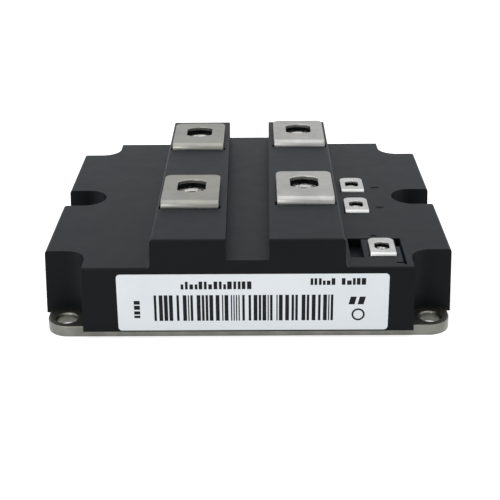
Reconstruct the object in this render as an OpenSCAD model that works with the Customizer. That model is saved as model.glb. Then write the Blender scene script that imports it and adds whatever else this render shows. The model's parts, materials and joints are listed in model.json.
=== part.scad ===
// Single-switch power transistor module, 140 x 130 x 38 mm, with screw terminals.
// Z = 0 is the cooling face of the base plate, the origin is its centre,
// +X runs across the label side and +Y points away from the label.

/* [Housing] */
// Width of the housing at its skirt
case_w = 140; // [138:0.5:146]
// Depth of the housing at its skirt
case_d = 130; // [129:0.5:136]
// Height of the lower edge of the skirt
skirt_z = 2.6; // [2.2:0.1:3]
// Height of the deck beside the plateau
deck_z = 25.6; // [25.2:0.1:26.6]
// Height of the plateau that carries the main terminals
plateau_z = 35.6; // [34.6:0.1:37]
// Width of the plateau across its top
plateau_w = 64; // [63.5:0.5:66]
// Lean of each plateau flank from its foot to its top
plateau_lean = 0.3; // [0.2:0.1:1]
// Moulding draft of the outer walls from the skirt to the deck
draft = 0.7; // [0.3:0.1:1.2]
// Thickness of the outer walls at the skirt
wall = 3.5; // [2.8:0.1:3.6]
// Thickness of the plateau flanks
flank_t = 2.5; // [2:0.1:3]
// Thickness of the deck
deck_t = 3; // [2:0.1:3.5]
// Thickness of the plateau roof
roof_t = 3; // [2:0.1:3.2]
// Radius of the rounded upper edges
edge_r = 1; // [0.3:0.1:1.2]

/* [Channel] */
// Width of the channel between the terminal columns at the rear
channel_w = 16.5; // [15.6:0.1:17]
// Width of the channel at the label side
channel_front_w = 14.3; // [13:0.1:15.4]
// Height of the channel floor
channel_z = 28.4; // [27.4:0.1:30]
// Thickness of the trough under and beside the channel
trough_t = 1.8; // [1.2:0.1:2]

/* [Base plate] */
// Distance of the plate edge from the skirt
plate_inset = 1.5; // [1:0.1:2]
// Thickness of the base plate
plate_t = 3.8; // [3.4:0.1:4.4]
// Corner radius of the base plate
plate_corner_r = 7.5; // [5:0.5:8.5]
// Distance of the mounting holes from the sides of the skirt
mount_inset = 8; // [7.6:0.1:8.4]
// Diameter of the mounting holes
mount_d = 7; // [6:0.1:7.5]
// Chamfer at both ends of a mounting hole
mount_chamfer = 0.5; // [0.2:0.1:0.8]
// Radius of the corner notches over the mounting holes
notch_r = 6.5; // [6:0.1:7]
// Half width of the slots over the middle mounting holes
side_notch_r = 7.1; // [6.5:0.1:7.5]
// Clearance between the plate edge and the skirt
skirt_gap = 0.2; // [0.1:0.05:0.4]
// Thickness of the adhesive bead under the housing
bead_t = 0.3; // [0.2:0.05:0.5]

/* [Main terminals] */
// Spacing of the two terminal columns
column_pitch = 40.6; // [40.4:0.1:41.2]
// Distance of the collector holes behind the middle of their substrates
row_offset = 11.5; // [11.2:0.1:12]
// How far the emitter column sits behind the collector column
stagger = 3.3; // [3:0.1:4]
// Width of a terminal tab
tab_w = 20.3; // [20:0.1:20.6]
// Sheet thickness of the terminals
tab_t = 1.5; // [1.2:0.1:1.6]
// Height of the pads that the tabs rest on
tab_rise = 0.9; // [0.6:0.1:1.2]
// Distance of the pads' edges inside the tabs
pad_margin = 0.7; // [0.4:0.1:1]
// Distance from the hole to the rear edge of the tab
tab_rear = 11.4; // [10.5:0.1:11.8]
// Distance from the hole to the outer face of the folded leg
tab_front = 16.4; // [16:0.1:17]
// Inner radius of the folds
fold_r = 1; // [0.6:0.1:1.2]
// Radius of the rear tab corners
tab_corner_r = 2.5; // [1:0.1:4]
// Length of the double-D screw hole
tab_hole_l = 12.7; // [11.5:0.1:13.5]
// Width of the double-D screw hole across its flats
tab_hole_w = 10.1; // [9:0.1:11]
// Clearance of the slots round the legs
slot_gap = 0.6; // [0.3:0.1:0.7]
// Width of the legs inside the housing
neck_w = 16; // [12:0.5:16.5]
// Height of the busbar's lower edge
bus_z = 12; // [10.8:0.1:13]
// Height of the busbar's strip
bus_h = 7.5; // [5:0.1:7.9]
// Width of the feet on the substrates
foot_w = 8; // [5:0.1:9]
// Length of the feet on the substrates
foot_len = 8; // [5:0.1:8.5]

/* [Main nuts] */
// Width of the M8 nuts across flats
m8_flats = 13; // [12.5:0.1:13.2]
// Height of the M8 nuts
m8_h = 6.5; // [6:0.1:6.8]
// Core diameter of the M8 thread
m8_core = 6.65; // [6.4:0.05:6.9]
// Nominal diameter of the M8 thread
m8_d = 8; // [7.5:0.1:8.5]
// Depth of the nuts below the tabs
m8_drop = 1.2; // [0.8:0.1:1.5]
// Play of the M8 nuts in their pockets
m8_play = 0.3; // [0.1:0.05:0.4]
// Diameter of the screw wells below the M8 nuts
m8_well_d = 9.5; // [8.6:0.1:10]
// Depth of the screw wells below the M8 nuts
m8_well_depth = 6.5; // [4:0.1:6.5]
// Wall of the bosses round the M8 nuts
boss_wall = 1.9; // [1.5:0.1:2]

/* [Auxiliary terminals] */
// Distance of the gate and emitter sense holes from the plateau
aux_side = 8; // [7.5:0.1:8.8]
// Distance of the gate leg from its substrate's front edge
gate_inset = 1.2; // [1:0.1:1.5]
// Distance of the emitter sense leg from its substrate's rear edge
sense_inset = 13.2; // [12.6:0.1:13.8]
// Distance of the collector sense hole from the right wall of its recess
corner_side = 7.1; // [6.6:0.1:7.6]
// Distance of the collector sense hole from the label side of the skirt
corner_inset = 16.6; // [16.3:0.1:16.9]
// Width of an auxiliary tab
aux_w = 8.8; // [8.2:0.1:9.2]
// Sheet thickness of the auxiliary terminals
aux_t = 0.8; // [0.7:0.1:1]
// Distance from the hole to the rear edge of the auxiliary tab
aux_rear = 6.7; // [6:0.1:7.2]
// Distance from the hole to the outer face of the auxiliary leg
aux_front = 6.8; // [6.6:0.1:7.1]
// Radius of the rear corners of the auxiliary tabs
aux_corner_r = 2.4; // [1:0.1:2.6]
// Length of the double-D hole in the auxiliary tabs
aux_hole_l = 6.3; // [5.5:0.1:6.8]
// Width of the double-D hole across its flats
aux_hole_w = 5; // [4.5:0.1:5.4]
// Height of the pads under the auxiliary tabs
pad_h = 0.1; // [0.1:0.1:0.6]
// Clearance of the slots round the auxiliary legs
aux_gap = 0.4; // [0.2:0.05:0.5]
// Inner radius of the folds of the auxiliary terminals
aux_fold_r = 0.6; // [0.4:0.1:0.8]
// Width of the narrow legs
aux_leg_w = 2.8; // [2:0.1:3]
// Length of the feet of the auxiliary terminals
aux_foot = 2.1; // [1.8:0.1:2.3]

/* [Auxiliary nuts] */
// Width of the M4 nuts across flats
m4_flats = 7; // [6.6:0.1:7.1]
// Height of the M4 nuts
m4_h = 3.2; // [2.8:0.1:3.4]
// Core diameter of the M4 thread
m4_core = 3.25; // [3.1:0.05:3.4]
// Nominal diameter of the M4 thread
m4_d = 4; // [3.8:0.1:4.2]
// Depth of the nuts below the pads
m4_drop = 0.7; // [0.5:0.1:0.9]
// Play of the M4 nuts in their pockets
m4_play = 0.2; // [0.1:0.05:0.3]
// Diameter of the screw wells below the M4 nuts
m4_well_d = 4.8; // [4.4:0.1:5]
// Depth of the screw wells below the M4 nuts
m4_well_depth = 3.5; // [2:0.1:4]
// Wall of the bosses round the M4 nuts
aux_boss_wall = 1.3; // [1:0.1:1.4]

/* [Corner recess] */
// Deck left between the plateau's foot and the recess
recess_gap = 1.1; // [0.8:0.1:1.6]
// Depth of the recess along Y
recess_d = 21.6; // [21.3:0.1:21.9]
// Wall between the recess and the corner notch
recess_wall = 2.1; // [1.8:0.1:2.3]
// Wall between the recess and the front of the housing
recess_front = 2.4; // [2.2:0.1:2.8]
// Depth of the pits in the recess
pit_depth = 3.5; // [2:0.1:4]
// Width of the left pit
pit_w = 4.6; // [4:0.1:5.2]
// Width of the slot along the right wall
rim_slot = 1; // [0.8:0.1:1.6]
// Width of the gap behind the pedestal
rear_gap = 0.9; // [0.5:0.1:1.2]
// Depth of the ledge in front of the pedestal
ledge_d = 5.6; // [4.6:0.1:5.8]
// Size of the cut in the pedestal's right rear corner
corner_cut = 7; // [5:0.1:7.5]
// Width of the key slot in the ledge
key_slot_w = 1; // [0.6:0.1:1.4]
// Length of the key slot in the ledge
key_slot_l = 2.4; // [1:0.1:2.8]
// Thickness of the floor under the pits
tub_t = 2; // [1.5:0.1:2.4]

/* [Substrates] */
// Distance of the substrates from the walls of the middle slots
sub_side = 1.9; // [1.5:0.1:2.4]
// Distance of the substrates from the ends of the skirt
sub_end = 5.5; // [5:0.1:6]
// Gap between the left and right substrates
sub_gap_x = 3; // [2:0.1:3.6]
// Gap between the front and rear substrates
sub_gap_y = 7; // [6.6:0.1:7.4]
// Thickness of the solder under a substrate
solder_t = 0.2; // [0.1:0.05:0.3]
// Thickness of the copper layers
copper_t = 0.3; // [0.2:0.05:0.4]
// Thickness of the ceramic
ceramic_t = 0.6; // [0.4:0.05:1]
// Bare ceramic round the copper
ceramic_rim = 0.8; // [0.5:0.1:1]
// Gap between the copper areas
copper_gap = 0.6; // [0.4:0.1:0.8]
// Margin of copper round a foot
foot_margin = 1; // [0.6:0.1:1.2]
// Width of the gate track
gate_track = 1.6; // [1:0.1:1.8]
// Width of the contact column for the auxiliary feet
contact_w = 3.4; // [3.2:0.1:3.6]
// Width of the bridge that joins the collector copper
collector_link = 3.6; // [2:0.1:4]

/* [Chips and wires] */
// Gap between the transistor chips of a pair
chip_gap = 11; // [10.4:0.1:12]
// Edge of a diode chip
diode_w = 10; // [8:0.1:11]
// Thickness of the chips with their solder
chip_t = 0.3; // [0.2:0.05:0.5]
// Distance of the transistor chips from the substrate's front edge
igbt_inset = 3.5; // [3.3:0.1:3.8]
// Distance of the diode chips from the substrate's rear edge
diode_inset = 4.5; // [3:0.1:5]
// Thickness of the bond wires
wire_t = 0.4; // [0.2:0.05:0.5]
// Rise of the bond wire loops
wire_rise = 2; // [1.5:0.1:2.6]
// Spacing of the bond wires
wire_pitch = 2.6; // [2:0.1:3]
// Diameter of the gate lead
lead_d = 1.2; // [0.8:0.1:1.4]
// Height of the gate lead over the bond wires
lead_z = 10.3; // [10.1:0.1:10.6]
// Bend radius of the gate lead
lead_bend_r = 1.5; // [1:0.1:2]
// Filling height of the soft gel
gel_z = 15; // [14:0.1:15.5]
// Clearance between the gel and the housing walls
gel_gap = 0.1; // [0.05:0.05:0.2]

/* [Label] */
// Width of the label
label_w = 90.2; // [80:0.1:100]
// Height of the label
label_h = 20.4; // [16:0.1:20.6]
// Thickness of the label
label_t = 0.1; // [0.05:0.05:0.2]
// Offset of the label from the middle
label_x = 1.6; // [0:0.1:3]
// Distance of the label above the skirt edge
label_rise = 0.5; // [0.3:0.05:0.8]
// Corner radius of the label
label_r = 1.3; // [0.5:0.1:2]
// Film of glue between the label and the housing
label_glue = 0.02; // [0.01:0.01:0.05]

/* [Hidden] */
$fn = 48;
far = 200;      // reach of a cut that must pass right through
eps = 0.01;     // overlap of forms that join
arc_steps = 4;  // segments of a rounded edge in a profile
fold_play = 0.05;  // clearance of a slot's edge from the fold above it

// Half sizes and levels that several pieces share
hx = case_w / 2 - mount_inset;
hy = case_d / 2 - mount_inset;
plate_w = case_w - 2 * plate_inset;
plate_d = case_d - 2 * plate_inset;
seat_z = plate_t + bead_t;
inner_x = case_w / 2 - wall;
inner_y = case_d / 2 - wall;
solder_z = plate_t;
back_z = solder_z + solder_t;
ceramic_z = back_z + copper_t;
circuit_z = ceramic_z + ceramic_t;
foot_z = circuit_z + copper_t;
chip_top = foot_z + chip_t;
tab_z = plateau_z + tab_rise;
tab_top = tab_z + tab_t;
pad_z = deck_z + pad_h;
m8_seat = tab_z - m8_drop - m8_h;
m8_bottom = m8_seat - m8_well_depth;
m4_seat = pad_z - m4_drop - m4_h;
m4_bottom = m4_seat - m4_well_depth;
m8_boss_r = (m8_flats + m8_play) / sqrt(3) + boss_wall;
m4_boss_r = (m4_flats + m4_play) / sqrt(3) + aux_boss_wall;

// Substrates: sizes and centres
sub_w = hx - side_notch_r - wall - sub_side - sub_gap_x / 2;
sub_d = case_d / 2 - sub_end - sub_gap_y / 2;
sub_x = (sub_gap_x + sub_w) / 2;
sub_y = (sub_gap_y + sub_d) / 2;
cu_x = sub_w / 2 - ceramic_rim;
cu_y = sub_d / 2 - ceramic_rim;
contact_x = cu_x - contact_w;

// Corner recess
recess_x0 = plateau_w / 2 + plateau_lean + edge_r + recess_gap;
recess_x1 = hx - notch_r - draft - recess_wall;
recess_y0 = -case_d / 2 + draft + recess_front;
recess_y1 = recess_y0 + recess_d;
pit_z = deck_z - pit_depth;
pedestal_x0 = recess_x0 + pit_w;
pedestal_x1 = recess_x1 - rim_slot;
pedestal_y0 = recess_y0 + ledge_d;
pedestal_y1 = recess_y1 - rear_gap;

// Terminal positions: collectors stand in the left column, emitters in the right one
collector_x = -column_pitch / 2;
emitter_x = column_pitch / 2;
collector_ys = [-sub_y + row_offset, sub_y + row_offset];
emitter_ys = [for (y = collector_ys) y + stagger];
main_holes = [
    [collector_x, collector_ys[0]], [collector_x, collector_ys[1]],
    [emitter_x, emitter_ys[0]], [emitter_x, emitter_ys[1]]
];
aux_x = plateau_w / 2 + aux_side;
gate_y = sub_gap_y / 2 + gate_inset + aux_front;
sense_y = -sub_gap_y / 2 - sense_inset + aux_front;
aux_holes = [[aux_x, gate_y], [aux_x, sense_y], [recess_x1 - corner_side, corner_inset - case_d / 2]];
aux_leg_x = sub_x + contact_x + contact_w / 2;

// Copper areas and chips in a substrate's own frame
emitter_leg = row_offset + stagger - tab_front;
emitter_y0 = emitter_leg - foot_margin;
emitter_y1 = emitter_leg + tab_t + foot_len + foot_margin;
gate_pad_y1 = gate_inset - sub_d / 2 + aux_foot + copper_gap / 2;
emitter_tail_y1 = sub_d / 2 - sense_inset + aux_foot + foot_margin;
gate_x0 = -cu_x + collector_link + copper_gap;
gate_mid_y = -cu_y + gate_track / 2;
chip_pitch = sub_w / 2;
igbt_w = chip_pitch - chip_gap;
igbt_y = -sub_d / 2 + igbt_inset + igbt_w / 2;
diode_y = sub_d / 2 - diode_inset - diode_w / 2;

// Draft: how far the outer walls lean in at height z
function inset(z) = draft * (z - skirt_z) / (deck_z - skirt_z);
// Points of an arc from angle a0 to a1 round [cx, cy]
function arc(cx, cy, r, a0, a1) =
    [for (i = [0:arc_steps]) let (a = a0 + (a1 - a0) * i / arc_steps) [cx + r * cos(a), cy + r * sin(a)]];
// Loop of a bond wire: a point at fraction f between two landings
function loop_point(a, za, b, zb, f) =
    [a + (b - a) * f, za + (zb - za) * f + wire_rise * sin(180 * f)];

// A profile drawn in the YZ plane and drawn out from x0 to x1
module along_x(x0, x1) {
    translate([min(x0, x1), 0, 0]) rotate([90, 0, 90]) linear_extrude(abs(x1 - x0)) children();
}

// A profile drawn in the XZ plane and drawn out from y0 to y1
module along_y(y0, y1) {
    translate([0, max(y0, y1), 0]) rotate([90, 0, 0]) linear_extrude(abs(y1 - y0)) children();
}

module box(x0, y0, z0, x1, y1, z1) {
    translate([x0, y0, z0]) cube([x1 - x0, y1 - y0, z1 - z0]);
}

module rect(x0, y0, x1, y1) {
    translate([min(x0, x1), min(y0, y1)]) square([abs(x1 - x0), abs(y1 - y0)]);
}

module hexagon_prism(flats, h) {
    rotate([0, 0, 30]) cylinder(h = h, d = flats * 2 / sqrt(3), $fn = 6);
}

// ---- Base plate ----

module plate_plan(w, d, r) {
    difference() {
        square([w, d], center = true);
        for (sx = [-1, 1]) for (sy = [-1, 1])
            translate([sx * (w / 2 - r), sy * (d / 2 - r)])
                difference() {
                    rect(0, 0, sx * (r + 1), sy * (r + 1));
                    circle(r);
                }
    }
}

module mount_hole() {
    translate([0, 0, -eps]) cylinder(h = plate_t + 2 * eps, d = mount_d);
    translate([0, 0, plate_t - mount_chamfer])
        cylinder(h = mount_chamfer + eps, d1 = mount_d, d2 = mount_d + 2 * (mount_chamfer + eps));
    translate([0, 0, -eps])
        cylinder(h = mount_chamfer + eps, d1 = mount_d + 2 * (mount_chamfer + eps), d2 = mount_d);
}

module base_plate() {
    color([0.72, 0.71, 0.68]) difference() {
        linear_extrude(plate_t) plate_plan(plate_w, plate_d, plate_corner_r);
        for (sx = [-1, 1]) for (y = [-hy, 0, hy]) translate([sx * hx, y, 0]) mount_hole();
    }
}

// ---- Housing ----

// Width profile: deck, rounded edges, plateau with leaning flanks
module width_profile() {
    base = case_w / 2;
    deck = base - inset(deck_z);
    foot = plateau_w / 2 + plateau_lean;
    top = plateau_w / 2;
    right = concat(
        [[base, skirt_z]],
        arc(deck - edge_r, deck_z - edge_r, edge_r, 0, 90),
        [for (p = arc(foot + edge_r, deck_z + edge_r, edge_r, 270, 180)) p],
        arc(top - edge_r, plateau_z - edge_r, edge_r, 0, 90)
    );
    polygon(concat(right, [for (i = [len(right) - 1:-1:0]) [-right[i][0], right[i][1]]]));
}

// Depth profile: the leaning front and rear walls
module depth_profile() {
    base = case_d / 2;
    top = base - inset(plateau_z);
    right = concat([[base, skirt_z]], arc(top - edge_r, plateau_z - edge_r, edge_r, 0, 90));
    polygon(concat(right, [for (i = [len(right) - 1:-1:0]) [-right[i][0], right[i][1]]]));
}

// Rounding of the deck's front and rear edges beside the plateau
module deck_edge_round(sx, sy) {
    edge = sy * (case_d / 2 - inset(deck_z));
    along_x(sx * (plateau_w / 2 + plateau_lean + edge_r), sx * far)
        translate([edge - sy * edge_r, deck_z - edge_r])
            difference() {
                rect(0, 0, sy * 2 * edge_r, 2 * edge_r);
                circle(edge_r);
            }
}

// Trapezium that widens with the draft from the skirt up, for the notch walls
module draft_strip(inner, outer, sign) {
    z0 = skirt_z - 1;
    z1 = deck_z + 1;
    polygon([
        [sign * (inner - inset(z0)), z0], [sign * outer, z0],
        [sign * outer, z1], [sign * (inner - inset(z1)), z1]
    ]);
}

module notch_cone(r) {
    z0 = skirt_z - 1;
    z1 = deck_z + 1;
    translate([0, 0, z0]) cylinder(h = z1 - z0, r1 = r + inset(z0), r2 = r + inset(z1));
}

module corner_notch(sx, sy) {
    translate([sx * hx, sy * hy, 0]) notch_cone(notch_r);
    along_y(sy * hy, sy * far) draft_strip(hx - notch_r, far, sx);
    along_x(sx * hx, sx * far) draft_strip(hy - notch_r, far, sy);
}

module side_notch(sx) {
    z0 = skirt_z - 1;
    z1 = deck_z + 1;
    r0 = side_notch_r + inset(z0);
    r1 = side_notch_r + inset(z1);
    translate([sx * hx, 0, 0]) notch_cone(side_notch_r);
    along_x(sx * hx, sx * far) polygon([[-r0, z0], [r0, z0], [r1, z1], [-r1, z1]]);
}

module outer_form() {
    difference() {
        intersection() {
            along_y(-far, far) width_profile();
            along_x(-far, far) depth_profile();
        }
        for (sx = [-1, 1]) for (sy = [-1, 1]) {
            corner_notch(sx, sy);
            deck_edge_round(sx, sy);
        }
        for (sx = [-1, 1]) side_notch(sx);
    }
}

// Plan of the space inside the walls, clear of the mounting notches
module cavity_plan(gap = 0) {
    difference() {
        square([2 * (inner_x - gap), 2 * (inner_y - gap)], center = true);
        for (sx = [-1, 1]) {
            for (sy = [-1, 1]) translate([sx * hx, sy * hy]) {
                circle(notch_r + wall + gap);
                rect(0, -sy * (notch_r + wall + gap), sx * far, sy * far);
                rect(-sx * (notch_r + wall + gap), 0, sx * far, sy * far);
            }
            translate([sx * hx, 0]) {
                circle(side_notch_r + wall + gap);
                rect(0, -side_notch_r - wall - gap, sx * far, side_notch_r + wall + gap);
            }
        }
    }
}

module cavity() {
    half = plateau_w / 2 - flank_t;
    trough = channel_w / 2 + trough_t;
    translate([0, 0, skirt_z - 1]) linear_extrude(deck_z - deck_t - skirt_z + 1) cavity_plan();
    difference() {
        box(-half, -inner_y, skirt_z, half, inner_y, plateau_z - roof_t);
        box(-trough, -far, channel_z - trough_t, trough, far, plateau_z);
    }
}

// Channel between the terminal columns, slightly wider at the rear
module channel() {
    translate([0, 0, channel_z]) linear_extrude(far)
        polygon([
            [-channel_front_w / 2, -case_d / 2], [channel_front_w / 2, -case_d / 2],
            [channel_w / 2, case_d / 2], [-channel_w / 2, case_d / 2]
        ]);
}

module main_boss(p) {
    floor_z = m8_bottom - roof_t / 2;
    translate([p[0], p[1], floor_z]) cylinder(h = plateau_z - roof_t - floor_z + eps, r = m8_boss_r);
}

module aux_boss(p) {
    floor_z = m4_bottom - deck_t / 2;
    translate([p[0], p[1], floor_z]) cylinder(h = deck_z - deck_t - floor_z + eps, r = m4_boss_r);
}

// Raised pad that a main tab rests on
module main_pad(p) {
    box(p[0] - tab_w / 2 + pad_margin, p[1] - tab_front + tab_t, plateau_z - roof_t / 2,
        p[0] + tab_w / 2 - pad_margin, p[1] + tab_rear - pad_margin, tab_z);
}

// Raised pad that an auxiliary tab rests on
module aux_pad(p) {
    margin = aux_gap;
    box(p[0] - aux_w / 2 + margin, p[1] - aux_front - aux_gap, deck_z - 2 * pad_h,
        p[0] + aux_w / 2 - margin, p[1] + aux_rear - margin, pad_z);
}

// Hexagon pocket with the blind screw well below it
module nut_pocket(p, flats, seat, well_d, bottom) {
    translate([p[0], p[1], seat]) hexagon_prism(flats, far);
    translate([p[0], p[1], bottom]) cylinder(h = far, d = well_d);
}

module main_slot(p) {
    y0 = p[1] - tab_front;
    box(p[0] - tab_w / 2 - slot_gap, y0 - slot_gap / 2, plateau_z - roof_t - eps,
        p[0] + tab_w / 2 + slot_gap, y0 + tab_t + fold_r + fold_play, far);
}

module aux_slot(p) {
    y0 = p[1] - aux_front;
    box(p[0] - aux_w / 2 - aux_gap, y0 - aux_gap / 2, 0,
        p[0] + aux_w / 2 + aux_gap, y0 + aux_t + aux_fold_r + fold_play, far);
}

// Solid tub that carries the recess under the deck
module recess_tub() {
    box(recess_x0 - tub_t, -inner_y - eps, pit_z - tub_t,
        hx - notch_r - wall + eps, recess_y1 + tub_t, deck_z - deck_t + eps);
}

// Pits and slots round the pedestal of the corner terminal
module recess_cut() {
    box(recess_x0, pedestal_y0, pit_z, pedestal_x0, recess_y1, far);
    box(recess_x0, pedestal_y1, pit_z, recess_x1, recess_y1, far);
    box(pedestal_x1, recess_y0, pit_z, recess_x1, recess_y1, far);
    box(pedestal_x1 - key_slot_l / 2, recess_y1 - corner_cut, pit_z, recess_x1, recess_y1, far);
    box(pedestal_x1 - key_slot_l, recess_y0 + key_slot_w, pit_z,
        recess_x1, recess_y0 + 2 * key_slot_w, far);
}

module housing() {
    color([0.17, 0.175, 0.18]) difference() {
        union() {
            difference() {
                outer_form();
                cavity();
            }
            for (p = main_holes) {
                main_boss(p);
                main_pad(p);
            }
            for (p = aux_holes) {
                aux_boss(p);
                aux_pad(p);
            }
            recess_tub();
        }
        // Rebate that takes the plate edge, and the seat above the adhesive
        translate([0, 0, -1]) linear_extrude(seat_z + 1)
            plate_plan(plate_w + 2 * skirt_gap, plate_d + 2 * skirt_gap, plate_corner_r + skirt_gap);
        channel();
        recess_cut();
        for (p = main_holes) {
            nut_pocket(p, m8_flats + m8_play, m8_seat, m8_well_d, m8_bottom);
            main_slot(p);
        }
        for (p = aux_holes) {
            nut_pocket(p, m4_flats + m4_play, m4_seat, m4_well_d, m4_bottom);
            aux_slot(p);
        }
    }
}

// Adhesive bead between the plate and the foot of the housing walls
module housing_adhesive() {
    color([0.75, 0.75, 0.7]) translate([0, 0, plate_t]) linear_extrude(bead_t)
        difference() {
            plate_plan(plate_w, plate_d, plate_corner_r);
            cavity_plan();
            for (sx = [-1, 1]) {
                for (sy = [-1, 1]) translate([sx * hx, sy * hy]) {
                    circle(notch_r + draft);
                    rect(0, -sy * (notch_r + draft), sx * far, sy * far);
                    rect(-sx * (notch_r + draft), 0, sx * far, sy * far);
                }
                translate([sx * hx, 0]) {
                    circle(side_notch_r + draft);
                    rect(0, -side_notch_r - draft, sx * far, side_notch_r + draft);
                }
            }
        }
}

// ---- Label ----

module label() {
    lean = atan(draft / (deck_z - skirt_z));
    color([0.87, 0.9, 0.91])
        translate([label_x, -case_d / 2, skirt_z]) rotate([90 - lean, 0, 0])
            translate([0, label_rise + label_h / 2, label_glue]) linear_extrude(label_t)
                plate_plan(label_w, label_h, label_r);
}

// ---- Terminals ----

// Quarter of a sheet fold round [0, 0] that fills the quadrant [sy, sz]
module fold(r, t, sy, sz) {
    intersection() {
        difference() {
            circle(r + t);
            circle(r);
        }
        rect(0, 0, sy * (r + t), sz * (r + t));
    }
}

// Double-D opening: a round hole with two flats
module double_d(l, w, z0, z1) {
    intersection() {
        translate([0, 0, z0]) cylinder(h = z1 - z0, d = l);
        box(-w / 2, -l, z0, w / 2, l, z1);
    }
}

// Tab, fold and leg of a terminal, drawn in YZ from the leg's outer face y0
module tab_profile(y0, y1, top, t, r, leg_z) {
    rect(y0 + r + t, top - t, y1, top);
    translate([y0 + r + t, top - r - t]) fold(r, t, -1, 1);
    rect(y0, leg_z, y0 + t, top - r - t);
}

// Foot of a leg, bent towards side (-1 front, 1 rear), resting on the copper
module foot_profile(y0, t, r, length, side, leg_z) {
    out = side < 0 ? y0 : y0 + t;
    translate([out + side * r, foot_z + t + r]) fold(r, t, -side, -1);
    rect(out + side * r, foot_z, out + side * length, foot_z + t);
    rect(y0, foot_z + t + r, y0 + t, leg_z);
}

module tab_corners(w, y1, r, z0, z1) {
    for (s = [-1, 1]) translate([s * (w / 2 - r), y1 - r, z0]) linear_extrude(z1 - z0)
        difference() {
            rect(0, 0, s * (r + 1), r + 1);
            circle(r);
        }
}

// Main terminal: tab, leg through the roof, busbar strip and two feet
module main_terminal(x, y, side) {
    y0 = y - tab_front;
    bus_x = sub_x + foot_w / 2;
    shoulder = plateau_z - roof_t + bead_t;
    color([0.78, 0.78, 0.75]) {
        translate([x, 0, 0]) difference() {
            along_x(-tab_w / 2, tab_w / 2) tab_profile(y0, y + tab_rear, tab_top, tab_t, fold_r, shoulder);
            tab_corners(tab_w, y + tab_rear, tab_corner_r, plateau_z - 1, tab_top + 1);
            translate([0, y, 0]) double_d(tab_hole_l, tab_hole_w, plateau_z - 1, tab_top + 1);
        }
        box(x - neck_w / 2, y0, bus_z, x + neck_w / 2, y0 + tab_t, shoulder + eps);
        box(-bus_x, y0, bus_z, bus_x, y0 + tab_t, bus_z + bus_h);
        for (s = [-1, 1])
            along_x(s * sub_x - foot_w / 2, s * sub_x + foot_w / 2)
                foot_profile(y0, tab_t, fold_r, foot_len, side, bus_z + eps);
    }
}

// Auxiliary terminal: tab, leg, sideways strip and a small foot
module aux_terminal(p) {
    y0 = p[1] - aux_front;
    shelf_z = m4_bottom;
    x0 = aux_leg_x - aux_leg_w / 2;
    x1 = aux_leg_x + aux_leg_w / 2;
    color([0.82, 0.82, 0.8]) {
        translate([p[0], 0, 0]) difference() {
            along_x(-aux_w / 2, aux_w / 2)
                tab_profile(y0, p[1] + aux_rear, pad_z + aux_t, aux_t, aux_fold_r, shelf_z);
            tab_corners(aux_w, p[1] + aux_rear, aux_corner_r, pad_z - 1, pad_z + aux_t + 1);
            translate([0, p[1], 0]) double_d(aux_hole_l, aux_hole_w, pad_z - 1, pad_z + aux_t + 1);
        }
        box(min(x0, p[0] - aux_w / 2), y0, shelf_z - aux_leg_w,
            max(x1, p[0] + aux_w / 2), y0 + aux_t, shelf_z + eps);
        along_x(x0, x1) foot_profile(y0, aux_t, aux_fold_r, aux_foot - aux_t, 1, shelf_z - aux_leg_w + eps);
    }
}

// ---- Nuts ----

// Hexagon nut with its corners chamfered at 30 degrees and a countersunk bore
module nut(flats, h, core, d) {
    face_r = flats * 0.48;
    reach = flats * 0.62;
    lip = (reach - face_r) * tan(30);
    sink = (d - core) / 2 + eps;
    difference() {
        intersection() {
            hexagon_prism(flats, h);
            rotate_extrude()
                polygon([[0, 0], [face_r, 0], [reach, lip], [reach, h - lip], [face_r, h], [0, h]]);
        }
        translate([0, 0, -eps]) cylinder(h = h + 2 * eps, d = core);
        translate([0, 0, -eps]) cylinder(h = sink, d1 = core + 2 * sink, d2 = core);
        translate([0, 0, h + eps - sink]) cylinder(h = sink, d1 = core, d2 = core + 2 * sink);
    }
}

module m8_nuts() {
    color([0.7, 0.7, 0.68]) for (p = main_holes)
        translate([p[0], p[1], m8_seat]) nut(m8_flats, m8_h, m8_core, m8_d);
}

module m4_nuts() {
    color([0.72, 0.72, 0.7]) for (p = aux_holes)
        translate([p[0], p[1], m4_seat]) nut(m4_flats, m4_h, m4_core, m4_d);
}

// ---- Substrates, chips and wires ----

module at_substrate(sx, sy, z) {
    translate([sx * sub_x, sy * sub_y, z]) children();
}

module solder(sx, sy) {
    color([0.6, 0.6, 0.62]) at_substrate(sx, sy, solder_z) linear_extrude(solder_t)
        square([2 * cu_x, 2 * cu_y], center = true);
}

module back_copper(sx, sy) {
    color([0.72, 0.45, 0.3]) at_substrate(sx, sy, back_z) linear_extrude(copper_t)
        square([2 * cu_x, 2 * cu_y], center = true);
}

module ceramic(sx, sy) {
    color([0.92, 0.92, 0.9]) at_substrate(sx, sy, ceramic_z) linear_extrude(ceramic_t)
        square([sub_w, sub_d], center = true);
}

module gate_area(gap = 0) {
    rect(gate_x0 - gap, -cu_y - gap, cu_x + gap, -cu_y + gate_track + gap);
    rect(contact_x - gap, -cu_y - gap, cu_x + gap, gate_pad_y1 + gap);
}

module emitter_area(gap = 0) {
    rect(gate_x0 - gap, emitter_y0 - gap, cu_x + gap, emitter_y1 + gap);
    rect(contact_x - gap, emitter_y0 - gap, cu_x + gap, emitter_tail_y1 + gap);
}

module collector_area() {
    difference() {
        square([2 * cu_x, 2 * cu_y], center = true);
        gate_area(copper_gap);
        emitter_area(copper_gap);
    }
}

module circuit(sx, sy) {
    color([0.78, 0.5, 0.33]) at_substrate(sx, sy, circuit_z) linear_extrude(copper_t) {
        collector_area();
        emitter_area();
        gate_area();
    }
}

module chip_pair(y, w) {
    for (s = [-1, 1]) translate([s * chip_pitch / 2 - w / 2, y - w / 2, 0]) cube([w, w, chip_t]);
}

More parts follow.
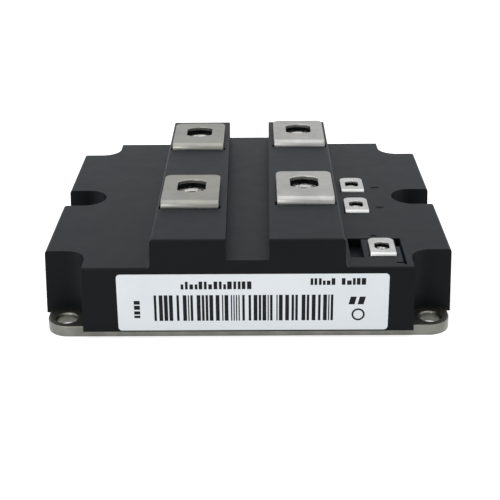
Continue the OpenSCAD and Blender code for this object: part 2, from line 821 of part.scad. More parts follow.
module igbt_chips(sx, sy) {
    color([0.35, 0.37, 0.4]) at_substrate(sx, sy, foot_z) chip_pair(igbt_y, igbt_w);
}

module diode_chips(sx, sy) {
    color([0.4, 0.4, 0.42]) at_substrate(sx, sy, foot_z) chip_pair(diode_y, diode_w);
}

// Flat drawing of a bond wire from landing a at za to landing b at zb
module wire_loop(a, za, b, zb) {
    steps = 6;
    s = b > a ? 1 : -1;
    low = concat(
        [[a - s * wire_t * 2, za]],
        [for (i = [0:steps]) loop_point(a, za, b, zb, i / steps)],
        [[b + s * wire_t * 2, zb]]
    );
    polygon(concat(low, [for (i = [len(low) - 1:-1:0]) [low[i][0], low[i][1] + wire_t]]));
}

module wire_row(x, count, a, za, b, zb) {
    for (i = [0:count - 1]) let (wx = x + (i - (count - 1) / 2) * wire_pitch)
        along_x(wx - wire_t / 2, wx + wire_t / 2) wire_loop(a, za, b, zb);
}

module wire_set() {
    landing = (emitter_y0 + emitter_y1) / 2;
    for (s = [-1, 1]) let (x = s * chip_pitch / 2) {
        wire_row(x, 4, igbt_y + igbt_w / 4, chip_top, landing - foot_margin, foot_z);
        wire_row(x, 3, diode_y - diode_w / 4, chip_top, landing + 2 * foot_margin, foot_z);
        wire_row(x, 1, igbt_y - igbt_w / 4, chip_top, gate_mid_y + wire_t, foot_z);
    }
}

module bond_wires(sx, sy) {
    color([0.85, 0.85, 0.86]) at_substrate(sx, sy, 0) wire_set();
}

// Bond wires that carry the gate signal from the right substrates to the left ones
module gate_jumpers() {
    a = sub_x + gate_x0 + 2 * wire_t;
    b = -sub_x + cu_x - 2 * wire_t - foot_margin;
    color([0.85, 0.85, 0.86]) for (s = [-1, 1]) let (y = s * sub_y + gate_mid_y)
        along_y(y - wire_t / 2, y + wire_t / 2) wire_loop(a, foot_z, b, foot_z);
}

// Round lead on the gate tracks of the rear and front right substrates: a long staple
// that stands on both tracks and passes over the bond wires
module gate_lead() {
    x = sub_x - chip_pitch / 2 - 2 * lead_d + wire_t;
    ys = [-sub_y + gate_mid_y, sub_y + gate_mid_y];
    color([0.75, 0.2, 0.15]) {
        for (i = [0, 1]) let (s = i == 0 ? -1 : 1) {
            translate([x, ys[i], foot_z]) cylinder(h = lead_z - lead_bend_r - foot_z, d = lead_d);
            translate([x, ys[i] - s * lead_bend_r, lead_z - lead_bend_r])
                rotate([90, 0, 90]) rotate([0, 0, i == 0 ? 90 : 0])
                    rotate_extrude(angle = 90) translate([lead_bend_r, 0]) circle(d = lead_d);
        }
        translate([x, ys[1] - lead_bend_r, lead_z]) rotate([90, 0, 0])
            cylinder(h = ys[1] - ys[0] - 2 * lead_bend_r, d = lead_d);
    }
}

// Everything that stands in the gel
module gel_contents() {
    for (sx = [-1, 1]) for (sy = [-1, 1]) {
        solder(sx, sy);
        back_copper(sx, sy);
        ceramic(sx, sy);
        circuit(sx, sy);
        igbt_chips(sx, sy);
        diode_chips(sx, sy);
        bond_wires(sx, sy);
    }
    for (y = collector_ys) main_terminal(collector_x, y, -1);
    for (y = emitter_ys) main_terminal(emitter_x, y, 1);
    for (p = aux_holes) aux_terminal(p);
    gate_jumpers();
    gate_lead();
}

module gel() {
    color([0.85, 0.88, 0.9, 0.4]) difference() {
        translate([0, 0, plate_t]) linear_extrude(gel_z - plate_t) cavity_plan(gel_gap);
        gel_contents();
    }
}

base_plate();
housing();
housing_adhesive();
gel();
label();
main_terminal(collector_x, collector_ys[0], -1);  // collector_terminal_front
main_terminal(collector_x, collector_ys[1], -1);  // collector_terminal_rear
main_terminal(emitter_x, emitter_ys[0], 1);  // emitter_terminal_front
main_terminal(emitter_x, emitter_ys[1], 1);  // emitter_terminal_rear
aux_terminal(aux_holes[0]);  // gate_terminal
aux_terminal(aux_holes[1]);  // emitter_sense_terminal
aux_terminal(aux_holes[2]);  // collector_sense_terminal
m8_nuts();
m4_nuts();
gate_lead();
gate_jumpers();
solder(-1, -1);  // solder_front_left
solder(1, -1);  // solder_front_right
solder(-1, 1);  // solder_rear_left
solder(1, 1);  // solder_rear_right
back_copper(-1, -1);  // back_copper_front_left
back_copper(1, -1);  // back_copper_front_right
back_copper(-1, 1);  // back_copper_rear_left
back_copper(1, 1);  // back_copper_rear_right
ceramic(-1, -1);  // ceramic_front_left
ceramic(1, -1);  // ceramic_front_right
ceramic(-1, 1);  // ceramic_rear_left
ceramic(1, 1);  // ceramic_rear_right
circuit(-1, -1);  // circuit_front_left
circuit(1, -1);  // circuit_front_right
circuit(-1, 1);  // circuit_rear_left
circuit(1, 1);  // circuit_rear_right
igbt_chips(-1, -1);  // igbt_chips_front_left
igbt_chips(1, -1);  // igbt_chips_front_right
igbt_chips(-1, 1);  // igbt_chips_rear_left
igbt_chips(1, 1);  // igbt_chips_rear_right
diode_chips(-1, -1);  // diode_chips_front_left
diode_chips(1, -1);  // diode_chips_front_right
diode_chips(-1, 1);  // diode_chips_rear_left
diode_chips(1, 1);  // diode_chips_rear_right
bond_wires(-1, -1);  // bond_wires_front_left
bond_wires(1, -1);  // bond_wires_front_right
bond_wires(-1, 1);  // bond_wires_rear_left
bond_wires(1, 1);  // bond_wires_rear_right
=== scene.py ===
"""Looks for a power transistor module: materials, nut threads, label print, marks, light and camera."""
import json
import math
import random
from collections import namedtuple

import bmesh
import bpy
from mathutils import Matrix, Vector


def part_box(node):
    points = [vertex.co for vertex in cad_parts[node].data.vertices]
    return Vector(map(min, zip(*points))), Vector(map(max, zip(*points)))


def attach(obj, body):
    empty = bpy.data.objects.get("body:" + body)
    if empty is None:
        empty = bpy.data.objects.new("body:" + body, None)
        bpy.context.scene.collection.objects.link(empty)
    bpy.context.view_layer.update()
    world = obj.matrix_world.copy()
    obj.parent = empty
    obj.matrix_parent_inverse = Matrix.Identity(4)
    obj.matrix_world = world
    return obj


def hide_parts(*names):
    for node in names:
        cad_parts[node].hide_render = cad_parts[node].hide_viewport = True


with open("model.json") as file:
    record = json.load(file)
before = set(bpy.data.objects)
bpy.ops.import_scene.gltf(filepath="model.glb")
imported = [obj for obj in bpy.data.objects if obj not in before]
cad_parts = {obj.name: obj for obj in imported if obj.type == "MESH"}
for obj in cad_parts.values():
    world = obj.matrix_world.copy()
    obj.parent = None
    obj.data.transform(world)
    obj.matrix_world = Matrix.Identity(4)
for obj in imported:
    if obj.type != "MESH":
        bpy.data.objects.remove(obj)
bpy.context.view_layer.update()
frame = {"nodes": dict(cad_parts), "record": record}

MM = 0.001
BODY = "root"

# ---- Sizes, in mm unless a comment says otherwise ----

# Rounding of the edges of the base plate and the terminals
PLATE_ROUNDING = 0.35
MAIN_ROUNDING = 0.35
AUX_ROUNDING = 0.18

# Nuts: width across flats, height, thread core and nominal diameter, pitch
NutSize = namedtuple("NutSize", "flats height core major pitch")
M8 = NutSize(13.0, 6.5, 6.65, 8.0, 1.25)
M4 = NutSize(7.0, 3.2, 3.25, 4.0, 0.7)
COUNTERSINK = 0.08  # how far the countersink reaches past the thread's nominal radius
CROWN = 0.96  # share of the nut's half width where the outer chamfer starts
CHAMFER_ANGLE = 30  # degrees
NUT_TURN_STEPS = 48
RINGS_PER_PITCH = 8

# Label: sheet thickness, and how far the print stands out of its face and reaches into it
LABEL_T = 0.1
PRINT_PROUD = 0.012
PRINT_SUNK = 0.02
# Rows of blocks: start and end along the row, low and high across it, and the seed of its pattern
FLAT_ROWS = ((-22.2, 1.2, 15.0, 17.8, 3), (20.7, 29.5, 16.4, 18.8, 8), (31.0, 39.0, 16.4, 18.8, 12))
UPRIGHT_ROW = (4.6, 10.9, -38.0, -36.0, 2)
# Slanted blocks: left edges, low, high, width and slant
SLANTED = ((33.4, 36.4), 9.3, 12.1, 2.0, 0.7)
# Bars: left, right, low, high, width of the narrowest bar and the seed of the pattern
BARS = (-31.3, 29.3, 3.5, 12.9, 0.42, 21)
# Ring: middle across and up, outer and inner radius
PRINTED_RING = (36.7, 5.6, 2.2, 1.6)
RING_STEPS = 48

# Raised marks on the deck, as outlines, and how far the top of an auxiliary tab is above the deck
DECK_MARKS = (
    ((47.2, 9.6), (50.3, 9.6), (49.9, 13.5)),
    ((47.5, -11.0), (50.1, -11.0), (50.1, -10.2), (47.5, -10.2)),
    ((42.8, -37.8), (44.9, -37.8), (44.9, -37.0), (42.8, -37.0)),
)
AUX_TAB_RISE = 0.9
MARK_HEIGHT = 0.22
MARK_DRAFT = 0.06
MARK_FOOT = 0.1

# Camera: place, then yaw, pitch and roll in degrees, focal length and nearest distance
CAMERA_PLACE = (3.3, -394.8, 178.7)
CAMERA_TURNS = (-0.43, 23.92, -0.47)
CAMERA_LENS = 79.92
CAMERA_CLIP = 10.0

# Light: the strengths of the world and of the floor's own white, and half the floor's width
WORLD_LIGHT = 0.52
FLOOR_LIFT = 0.55
FLOOR_HALF = 4000.0
# Lamps: name, place in metres, size in metres, power in watts
LAMPS = (("overhead", (0.0, 0.15, 0.9), 1.5, 8.0), ("front_left", (-0.45, -0.8, 0.55), 0.5, 3.0))
LAMP_AIM = Vector((0.0, 0.0, 0.015))


# ---- Materials ----


class Look:
    """A node material that is put together with short calls. Its places are in metres in the frame."""

    def __init__(self, name, metallic=0.0, ior=1.45):
        self.material = bpy.data.materials.new(name)
        self.material.use_nodes = True
        self.tree = self.material.node_tree
        self.shader = self.tree.nodes["Principled BSDF"]
        self.shader.inputs["Metallic"].default_value = metallic
        self.shader.inputs["IOR"].default_value = ior
        self.place = self.tree.nodes.new("ShaderNodeTexCoord").outputs["Object"]

    def put(self, socket, value):
        """A socket gets a link or a plain value."""
        if isinstance(value, bpy.types.NodeSocket):
            self.tree.links.new(value, socket)
        else:
            socket.default_value = value

    def math(self, operation, a, b):
        node = self.tree.nodes.new("ShaderNodeMath")
        node.operation = operation
        self.put(node.inputs[0], a)
        self.put(node.inputs[1], b)
        return node.outputs[0]

    def stretched(self, x, y, z):
        """The object's places, scaled per axis, for a grain that runs one way."""
        node = self.tree.nodes.new("ShaderNodeMapping")
        self.put(node.inputs["Vector"], self.place)
        node.inputs["Scale"].default_value = (x, y, z)
        return node.outputs["Vector"]

    def across(self, left_mm, right_mm):
        """0 at left_mm and 1 at right_mm, along X."""
        node = self.tree.nodes.new("ShaderNodeSeparateXYZ")
        self.put(node.inputs[0], self.place)
        return self.spread(node.outputs["X"], left_mm * MM, right_mm * MM, 0.0, 1.0)

    def noise(self, size_mm, detail=3.0, place=None):
        """Noise with blotches of about size_mm."""
        node = self.tree.nodes.new("ShaderNodeTexNoise")
        self.put(node.inputs["Vector"], place or self.place)
        node.inputs["Scale"].default_value = 1.0 / (size_mm * MM)
        node.inputs["Detail"].default_value = detail
        node.inputs["Roughness"].default_value = 0.55
        return node.outputs["Fac"]

    def spread(self, value, low, high, to_low, to_high):
        """value between low and high, brought to between to_low and to_high."""
        node = self.tree.nodes.new("ShaderNodeMapRange")
        self.put(node.inputs["Value"], value)
        for name, number in (("From Min", low), ("From Max", high), ("To Min", to_low), ("To Max", to_high)):
            node.inputs[name].default_value = number
        return node.outputs["Result"]

    def blend(self, factor, a, b):
        """Colour a where factor is 0, colour b where it is 1."""
        node = self.tree.nodes.new("ShaderNodeMix")
        node.data_type = "RGBA"
        self.put(node.inputs["Factor"], factor)
        for socket, colour in ((node.inputs[6], a), (node.inputs[7], b)):
            self.put(socket, colour if isinstance(colour, bpy.types.NodeSocket) else (*colour, 1.0))
        return node.outputs[2]

    def rounded(self, radius_mm):
        """Normals rounded over the edges, and a mask that rises to 1 on the outer edges."""
        bevel = self.tree.nodes.new("ShaderNodeBevel")
        bevel.samples = 6
        bevel.inputs["Radius"].default_value = radius_mm * MM
        thin = self.tree.nodes.new("ShaderNodeAmbientOcclusion")
        thin.inside = True
        thin.only_local = True
        thin.samples = 8
        thin.inputs["Distance"].default_value = radius_mm * MM
        return bevel.outputs["Normal"], self.spread(thin.outputs["AO"], 0.95, 0.6, 0.0, 1.0)

    def bump(self, height, depth_mm, strength, normal=None):
        node = self.tree.nodes.new("ShaderNodeBump")
        node.inputs["Strength"].default_value = strength
        node.inputs["Distance"].default_value = depth_mm * MM
        self.put(node.inputs["Height"], height)
        if normal:
            self.put(node.inputs["Normal"], normal)
        return node.outputs["Normal"]

    def finish(self, colour, roughness, normal):
        self.put(self.shader.inputs["Base Color"], colour)
        self.put(self.shader.inputs["Roughness"], roughness)
        self.put(self.shader.inputs["Normal"], normal)
        return self.material


def moulded_plastic():
    """Near-black glass-filled plastic: fine moulded grain, soft cloudiness, outer edges painted a little
    paler as a painted highlight.
    """
    look = Look("black_plastic", ior=1.175)
    normal, edge = look.rounded(0.35)
    cloud = look.spread(look.noise(18.0), 0.3, 0.7, 0.0, 1.0)
    body = look.blend(cloud, (0.0046, 0.0052, 0.0057), (0.0058, 0.0064, 0.0070))
    # Painted highlight: the outer edges are painted paler, in patches, in place of the light that rounded
    # edges catch.
    painted_edge_highlight = look.math("MULTIPLY", edge, look.spread(look.noise(3.0), 0.3, 0.75, 0.2, 0.9))
    colour = look.blend(painted_edge_highlight, body, (0.0125, 0.0138, 0.015))
    look.shader.inputs["Sheen Weight"].default_value = 0.03
    look.shader.inputs["Sheen Roughness"].default_value = 0.5
    look.shader.inputs["Sheen Tint"].default_value = (0.3, 0.7, 1.0, 1.0)
    roughness = look.spread(look.noise(6.0), 0.3, 0.7, 0.42, 0.46)
    grain = look.noise(0.35, detail=2.0)
    return look.finish(colour, roughness, look.bump(grain, 0.02, 0.35, normal))


def plated_metal(name, dark, bright, roughness, edge_mm, grain, warm=None, painted_light_right=None):
    """Plated sheet or plate: cloudy plating, a fine drawn grain, edges painted brighter as a painted
    highlight.
    warm is the colour of warmer stains; the last argument is the dark and bright colour on the module's
    right, painted light where the light falls stronger there."""
    look = Look(name, metallic=1.0)
    normal, edge = look.rounded(edge_mm)
    cloud = look.spread(look.noise(7.0, detail=5.0), 0.32, 0.68, 0.0, 1.0)
    colour = look.blend(cloud, dark, bright)
    if warm:
        stain = look.spread(look.noise(14.0, detail=2.0), 0.45, 0.7, 0.0, 0.6)
        colour = look.blend(stain, colour, warm)
    # Painted light: the tabs on the module's right are painted paler, in place of the stronger light that
    # falls there.
    if painted_light_right:
        colour = look.blend(look.across(-10.0, 10.0), colour, look.blend(cloud, *painted_light_right))
    # Painted highlight: the outer edges are painted brighter, in place of the light that rounded edges catch.
    edge_highlight_colour = tuple(min(1.0, part * 1.35) for part in bright)
    colour = look.blend(look.math("MULTIPLY", edge, 0.5), colour, edge_highlight_colour)
    lines = look.noise(0.25, detail=3.0, place=look.stretched(*grain))
    spots = look.spread(look.noise(1.2, detail=4.0), 0.3, 0.7, roughness - 0.05, roughness + 0.06)
    rough = look.math("ADD", spots, look.spread(lines, 0.3, 0.7, -0.03, 0.03))
    return look.finish(colour, rough, look.bump(lines, 0.012, 0.3, normal))


def threaded_steel():
    """Zinc-plated nut: fine turned marks round the bore and small dents that glint."""
    look = Look("nut_steel", metallic=1.0)
    normal, edge = look.rounded(0.12)
    cloud = look.spread(look.noise(1.6, detail=4.0), 0.3, 0.7, 0.0, 1.0)
    colour = look.blend(cloud, (0.24, 0.238, 0.228), (0.38, 0.378, 0.365))
    # Painted highlight: the edges and chamfer are painted brighter, in place of the light they catch.
    colour = look.blend(look.math("MULTIPLY", edge, 0.6), colour, (0.42, 0.415, 0.40))
    turned = look.noise(0.12, detail=2.0, place=look.stretched(0.2, 0.2, 1.0))
    dents = look.bump(look.noise(0.9, detail=2.0), 0.5, 1.0, normal)
    roughness = look.spread(turned, 0.3, 0.7, 0.14, 0.26)
    return look.finish(colour, roughness, look.bump(turned, 0.01, 0.25, dents))


def label_film():
    """White polyester label: slight waviness and a faint cool tint that varies."""
    look = Look("label", ior=1.42)
    cloud = look.spread(look.noise(22.0, detail=2.0), 0.3, 0.7, 0.0, 1.0)
    colour = look.blend(cloud, (0.74, 0.775, 0.80), (0.79, 0.82, 0.845))
    roughness = look.spread(look.noise(4.0), 0.3, 0.7, 0.3, 0.4)
    return look.finish(colour, roughness, look.bump(look.noise(5.0, detail=1.0), 0.02, 0.2))


def printed_ink():
    """Thermal print: black with tiny pale gaps in its cover."""
    look = Look("label_print", ior=1.22)
    gaps = look.spread(look.noise(0.35, detail=3.0), 0.62, 0.8, 0.0, 0.5)
    colour = look.blend(gaps, (0.008, 0.008, 0.010), (0.12, 0.125, 0.13))
    roughness = look.spread(look.noise(0.6), 0.3, 0.7, 0.45, 0.6)
    return look.finish(colour, roughness, look.bump(look.noise(0.3), 0.004, 0.2))


def soft_gel():
    """Clear silicone gel with faint flow marks."""
    look = Look("gel", ior=1.41)
    look.shader.inputs["Transmission Weight"].default_value = 0.9
    cloud = look.noise(9.0, detail=2.0)
    colour = look.blend(cloud, (0.80, 0.84, 0.86), (0.88, 0.90, 0.91))
    return look.finish(colour, look.spread(cloud, 0.3, 0.7, 0.08, 0.16), look.bump(cloud, 0.1, 0.2))


def plain_solid(name, dark, bright, rough, size_mm, depth_mm, metallic):
    """A simple solid with its own cloudiness, roughness and grain, for the parts inside."""
    look = Look(name, metallic=metallic)
    cloud = look.spread(look.noise(size_mm * 6.0), 0.3, 0.7, 0.0, 1.0)
    grain = look.noise(size_mm, detail=4.0)
    roughness = look.spread(grain, 0.3, 0.7, rough - 0.07, rough + 0.07)
    return look.finish(look.blend(cloud, dark, bright), roughness, look.bump(grain, depth_mm, 0.3))


# The parts inside: dark and bright colour, roughness, grain and its depth in mm, metallic
INSIDE = {
    "adhesive": ((0.42, 0.42, 0.38), (0.50, 0.50, 0.46), 0.5, 0.8, 0.05, 0.0),
    "lead_insulation": ((0.36, 0.03, 0.02), (0.46, 0.05, 0.03), 0.42, 0.6, 0.02, 0.0),
    "bond_wire": ((0.62, 0.62, 0.63), (0.74, 0.74, 0.76), 0.25, 0.3, 0.01, 1.0),
    "solder": ((0.33, 0.33, 0.35), (0.45, 0.45, 0.47), 0.45, 0.7, 0.04, 1.0),
    "copper": ((0.60, 0.26, 0.14), (0.74, 0.36, 0.21), 0.3, 0.5, 0.01, 1.0),
    "ceramic": ((0.72, 0.72, 0.69), (0.80, 0.80, 0.78), 0.5, 0.4, 0.01, 0.0),
    "silicon": ((0.20, 0.22, 0.25), (0.28, 0.30, 0.33), 0.18, 0.8, 0.004, 1.0),
}
MATERIALS = {
    "black_plastic": moulded_plastic(),
    "nickel_plate": plated_metal("nickel_plate", (0.14, 0.14, 0.124), (0.21, 0.208, 0.187), roughness=0.36,
                                 edge_mm=0.4, grain=(1.0, 0.25, 0.4)),
    # Main terminals: the last two colours are painted light, paler on the module's right where the light
    # falls stronger.
    "main_terminal": plated_metal("main_terminal", (0.19, 0.19, 0.175), (0.245, 0.245, 0.228), roughness=0.34,
                                  edge_mm=0.5, grain=(1.0, 0.15, 0.3), warm=(0.225, 0.215, 0.18),
                                  painted_light_right=((0.27, 0.27, 0.262), (0.345, 0.345, 0.335))),
    "aux_terminal": plated_metal("aux_terminal", (0.39, 0.395, 0.39), (0.50, 0.505, 0.50), roughness=0.3,
                                 edge_mm=0.15, grain=(1.0, 0.15, 0.3)),
    "nut_steel": threaded_steel(),
    "label": label_film(),
    "gel": soft_gel(),
    **{slot: plain_solid(slot, *recipe) for slot, recipe in INSIDE.items()},
}
INK = printed_ink()


def dress_nodes():
    """Every CAD node gets the material of its slot in the record."""
    for part in frame["record"]["subparts"]:
        node = frame["nodes"][part["node"]]
        node.data.materials.clear()
        node.data.materials.append(MATERIALS[part["material_slot"]])


def soften_edges(node, radius):
    """Rounds the sharp edges of a metal node with modifiers, so its own mesh stays as it is."""
    part = frame["nodes"][node]
    weld = part.modifiers.new("weld", "WELD")
    weld.merge_threshold = 0.001 * MM
    flats = part.modifiers.new("flats", "DECIMATE")
    flats.decimate_type = "DISSOLVE"
    flats.angle_limit = math.radians(1)
    rounding = part.modifiers.new("rounding", "BEVEL")
    rounding.width = radius * MM
    rounding.segments = 3
    rounding.limit_method = "ANGLE"
    rounding.angle_limit = math.radians(40)
    rounding.harden_normals = True


def soften_metal():
    """Deburred edges on the terminals and the base plate."""
    for pole in ("collector", "emitter"):
        for row in ("front", "rear"):
            soften_edges(f"{pole}_terminal_{row}", MAIN_ROUNDING)
    for name in ("gate", "emitter_sense", "collector_sense"):
        soften_edges(f"{name}_terminal", AUX_ROUNDING)
    soften_edges("base_plate", PLATE_ROUNDING)


# ---- Pieces ----


def piece(name, mesh, material):
    """Turns a bmesh, in millimetres in the frame's axes, into a piece of the object."""
    bmesh.ops.recalc_face_normals(mesh, faces=mesh.faces)
    data = bpy.data.meshes.new(name)
    mesh.to_mesh(data)
    mesh.free()
    data.transform(Matrix.Scale(MM, 4))
    data.materials.append(material)
    made = bpy.data.objects.new(name, data)
    bpy.context.scene.collection.objects.link(made)
    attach(made, BODY)
    return made


def bridge_rings(mesh, rings):
    """Quads between each ring of vertices and the next; the last joins the first."""
    count = len(rings[0])
    for near, far in zip(rings, rings[1:] + rings[:1]):
        for i in range(count):
            j = (i + 1) % count
            mesh.faces.new((near[i], near[j], far[j], far[i]))


def close_prism(mesh, front, back):
    """A closed solid between two outlines of as many vertices."""
    mesh.faces.new(front)
    mesh.faces.new(back[::-1])
    for i in range(len(front)):
        j = (i + 1) % len(front)
        mesh.faces.new((front[i], front[j], back[j], back[i]))


# ---- Nuts ----


def hexagon(size, angle):
    """Distance from the nut's axis to its hexagon, at an angle."""
    sixth = math.pi / 3
    return size.flats / 2 / math.cos((angle + sixth / 2) % sixth - sixth / 2)


def groove_depth(size, up, angle):
    """Depth of the thread's groove at a height above the nut's foot and an angle, 0 on its crest."""
    phase = (up / size.pitch - angle / (2 * math.pi)) % 1.0
    return (size.major - size.core) / 2 * max(0.0, min(1.0, 1.35 - 2.7 * abs(phase - 0.5)))


def nut_rings(size):
    """Rings of (radius, angle, height): up through the threaded bore, then down the chamfered outside."""
    angles = [2 * math.pi * i / NUT_TURN_STEPS for i in range(NUT_TURN_STEPS)]
    mouth = (size.major - size.core) / 2 + COUNTERSINK
    crown = size.flats / 2 * CROWN
    slope = math.tan(math.radians(CHAMFER_ANGLE))
    thread = size.height - 2 * mouth
    steps = int(RINGS_PER_PITCH * thread / size.pitch)

    rings = [[(size.core / 2 + mouth, a, 0.0) for a in angles]]
    for k in range(steps + 1):
        up = mouth + thread * k / steps
        ease = min(1.0, k / RINGS_PER_PITCH, (steps - k) / RINGS_PER_PITCH)
        rings.append([(size.core / 2 + ease * groove_depth(size, up, a), a, up) for a in angles])
    rings.append([(size.core / 2 + mouth, a, size.height) for a in angles])
    rings.append([(crown, a, size.height) for a in angles])
    drops = [max(0.0, hexagon(size, a) - crown) * slope for a in angles]
    rings.append([(hexagon(size, a), a, size.height - drop) for a, drop in zip(angles, drops)])
    rings.append([(hexagon(size, a), a, drop) for a, drop in zip(angles, drops)])
    rings.append([(crown, a, 0.0) for a in angles])
    return rings


def add_nut(mesh, x, y, foot, size):
    """A chamfered hex nut with a helical thread, standing on z = foot."""
    rings = []
    for ring in nut_rings(size):
        points = [(x + radius * math.cos(a), y + radius * math.sin(a), foot + up) for radius, a, up in ring]
        rings.append([mesh.verts.new(point) for point in points])
    bridge_rings(mesh, rings)


def bore_places(core):
    """Where the record has threaded holes of this core diameter, as (x, y) in mm."""
    bores = [mount for mount in frame["record"]["mounts"] if mount["kind"] == "threaded_hole"]
    return [(mount["pos_m"][0] / MM, mount["pos_m"][1] / MM) for mount in bores
            if math.isclose(mount["dims"]["r_mm"] * 2, core)]


def threaded_nuts(node, size):
    """All nuts of one size as one piece, with the real threads in place of the CAD node's plain bores."""
    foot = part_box(node)[1].z / MM - size.height
    mesh = bmesh.new()
    for x, y in bore_places(size.core):
        add_nut(mesh, x, y, foot, size)
    made = piece(f"{node}_threaded", mesh, MATERIALS["nut_steel"])
    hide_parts(node)


# ---- Label print ----


def label_point(across, up, proud):
    """A point on the label's leaned face: across from the module's middle, up from the label's lower edge."""
    low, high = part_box("label")
    lean = math.asin(((high.y - low.y) / MM - LABEL_T) / ((high.z - low.z) / MM))
    out = Vector((0.0, -math.cos(lean), math.sin(lean)))
    along = Vector((0.0, math.sin(lean), math.cos(lean)))
    corner = Vector((0.0, low.y / MM, low.z / MM + LABEL_T * math.sin(lean)))
    return corner + Vector((across, 0.0, 0.0)) + along * up + out * proud


def print_patch(mesh, outline):
    """A thin printed patch with this outline of (across, up) points."""
    front = [mesh.verts.new(label_point(across, up, PRINT_PROUD)) for across, up in outline]
    back = [mesh.verts.new(label_point(across, up, -PRINT_SUNK)) for across, up in outline]
    close_prism(mesh, front, back)


def print_box(mesh, left, low, right, high):
    print_patch(mesh, [(left, low), (right, low), (right, high), (left, high)])


def block_row(mesh, start, end, low, high, seed, upright=False):
    """Generic blocks in a row where the real label has a line of print."""
    pick = random.Random(seed)
    shortest = 0.6
    at = start
    while at < end - shortest:
        width = min(pick.choice((0.9, 1.2, 1.5)), end - at)
        top = high - pick.choice((0.0, 0.0, 0.35)) * (high - low)
        if upright:
            print_box(mesh, low, at, top, at + width)
        else:
            print_box(mesh, at, low, at + width, top)
        at += width + pick.choice((0.4, 0.4, 0.55))


def printed_blocks():
    """Generic rows of blocks, and two slanted ones. They spell nothing."""
    mesh = bmesh.new()
    for row in FLAT_ROWS:
        block_row(mesh, *row)
    block_row(mesh, *UPRIGHT_ROW, upright=True)
    lefts, low, high, width, slant = SLANTED
    for left in lefts:
        right = left + width
        print_patch(mesh, [(left, low), (right, low), (right + slant, high), (left + slant, high)])
    piece("label_blocks", mesh, INK)


def printed_bars():
    """Bars of random widths. They encode nothing."""
    left, right, low, high, narrow, seed = BARS
    mesh = bmesh.new()
    pick = random.Random(seed)
    at = left
    while at < right - narrow:
        width = narrow * pick.choice((1, 2, 2, 3, 3))
        print_box(mesh, at, low, min(at + width, right), high)
        at += width + narrow * pick.choice((1, 1, 1, 2, 3))
    piece("label_bars", mesh, INK)


def printed_ring():
    """A plain ring."""
    across, up, outer, inner = PRINTED_RING
    turns = [2 * math.pi * i / RING_STEPS for i in range(RING_STEPS)]
    front, back = PRINT_PROUD, -PRINT_SUNK
    mesh = bmesh.new()
    rings = []
    for radius, proud in ((outer, front), (outer, back), (inner, back), (inner, front)):
        points = [label_point(across + radius * math.cos(a), up + radius * math.sin(a), proud) for a in turns]
        rings.append([mesh.verts.new(point) for point in points])
    bridge_rings(mesh, rings)
    piece("label_ring", mesh, INK)


# ---- Raised marks ----


def raised_mark(mesh, outline, deck):
    """A raised shape on the deck with slightly drafted sides."""
    corners = [Vector(corner) for corner in outline]
    centre = sum(corners, Vector((0.0, 0.0))) / len(corners)
    low = [mesh.verts.new((*corner, deck - MARK_FOOT)) for corner in corners]
    high = []
    for corner in corners:
        inner = corner + (centre - corner).normalized() * MARK_DRAFT
        high.append(mesh.verts.new((*inner, deck + MARK_HEIGHT)))
    close_prism(mesh, high, low)


def deck_marks():
    """Small generic marks beside the auxiliary terminals, moulded with the housing."""
    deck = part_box("gate_terminal")[1].z / MM - AUX_TAB_RISE
    mesh = bmesh.new()
    for outline in DECK_MARKS:
        raised_mark(mesh, outline, deck)
    piece("deck_marks", mesh, MATERIALS["black_plastic"])


# ---- Floor, light and camera ----


def background_mix(tree, lit, plain):
    """Camera, glossy and transmitted rays see plain where other rays see lit."""
    paths = tree.nodes.new("ShaderNodeLightPath")
    factor = paths.outputs["Is Camera Ray"]
    for kind in ("Is Glossy Ray", "Is Transmission Ray"):
        step = tree.nodes.new("ShaderNodeMath")
        step.operation = "MAXIMUM"
        tree.links.new(factor, step.inputs[0])
        tree.links.new(paths.outputs[kind], step.inputs[1])
        factor = step.outputs[0]
    mix = tree.nodes.new("ShaderNodeMixShader")
    tree.links.new(factor, mix.inputs[0])
    tree.links.new(lit, mix.inputs[1])
    tree.links.new(plain, mix.inputs[2])
    return mix.outputs[0]


def white_world():
    """A white studio all round, which lights the module less than it shows."""
    world = bpy.data.worlds.new("studio")
    bpy.context.scene.world = world
    world.use_nodes = True
    tree = world.node_tree
    lit = tree.nodes["Background"]
    lit.inputs["Color"].default_value = (0.96, 0.98, 1.0, 1.0)
    lit.inputs["Strength"].default_value = WORLD_LIGHT
    plain = tree.nodes.new("ShaderNodeBackground")
    plain.inputs["Color"].default_value = (1.0, 1.0, 1.0, 1.0)
    plain.inputs["Strength"].default_value = 1.0
    out = background_mix(tree, lit.outputs[0], plain.outputs[0])
    tree.links.new(out, tree.nodes["World Output"].inputs["Surface"])


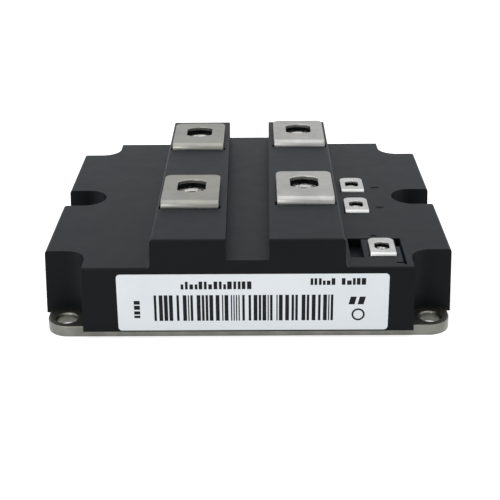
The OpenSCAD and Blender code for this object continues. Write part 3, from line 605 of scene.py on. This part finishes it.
def floor_paint():
    """A matte pale paint whose own white is lifted for the camera."""
    paint = bpy.data.materials.new("floor")
    paint.use_nodes = True
    tree = paint.node_tree
    lit = tree.nodes["Principled BSDF"]
    lit.inputs["Base Color"].default_value = (0.82, 0.82, 0.82, 1.0)
    lit.inputs["Roughness"].default_value = 0.9
    lit.inputs["Specular IOR Level"].default_value = 0.0
    lift = tree.nodes.new("ShaderNodeEmission")
    lift.inputs["Strength"].default_value = FLOOR_LIFT
    both = tree.nodes.new("ShaderNodeAddShader")
    tree.links.new(lit.outputs[0], both.inputs[0])
    tree.links.new(lift.outputs[0], both.inputs[1])
    out = background_mix(tree, lit.outputs[0], both.outputs[0])
    tree.links.new(out, tree.nodes["Material Output"].inputs["Surface"])
    return paint


def white_floor():
    """A pale floor under the module, which keeps the module's shadow."""
    half = FLOOR_HALF * MM
    corners = [(-half, -half, 0.0), (half, -half, 0.0), (half, half, 0.0), (-half, half, 0.0)]
    data = bpy.data.meshes.new("floor")
    data.from_pydata(corners, [], [(0, 1, 2, 3)])
    data.materials.append(floor_paint())
    floor = bpy.data.objects.new("floor", data)
    bpy.context.scene.collection.objects.link(floor)


def soft_lamp(name, place, size, power):
    """A square lamp that faces the module."""
    data = bpy.data.lights.new(name, "AREA")
    data.shape = "SQUARE"
    data.size = size
    data.energy = power
    lamp = bpy.data.objects.new(name, data)
    bpy.context.scene.collection.objects.link(lamp)
    lamp.location = place
    lamp.rotation_euler = (LAMP_AIM - Vector(place)).to_track_quat("-Z", "Y").to_euler()


def photo_camera():
    """The camera at the photo's viewing angle."""
    yaw, pitch, roll = (math.radians(angle) for angle in CAMERA_TURNS)
    forward = Vector((math.sin(yaw) * math.cos(pitch), math.cos(yaw) * math.cos(pitch), -math.sin(pitch)))
    right = Vector((math.cos(yaw), -math.sin(yaw), 0.0))
    up = right.cross(forward)
    rolled_right = math.cos(roll) * right + math.sin(roll) * up
    rolled_up = -math.sin(roll) * right + math.cos(roll) * up
    data = bpy.data.cameras.new("camera")
    data.lens = CAMERA_LENS
    data.clip_start = CAMERA_CLIP * MM
    camera = bpy.data.objects.new("camera", data)
    bpy.context.scene.collection.objects.link(camera)
    turn = Matrix((rolled_right, rolled_up, -forward)).transposed().to_4x4()
    camera.matrix_world = Matrix.Translation(Vector(CAMERA_PLACE) * MM) @ turn
    bpy.context.scene.camera = camera


dress_nodes()
soften_metal()
threaded_nuts("m8_nuts", M8)
threaded_nuts("m4_nuts", M4)
printed_blocks()
printed_bars()
printed_ring()
deck_marks()
white_world()
white_floor()
for lamp in LAMPS:
    soft_lamp(*lamp)
photo_camera()
bpy.context.scene.view_settings.view_transform = "Standard"
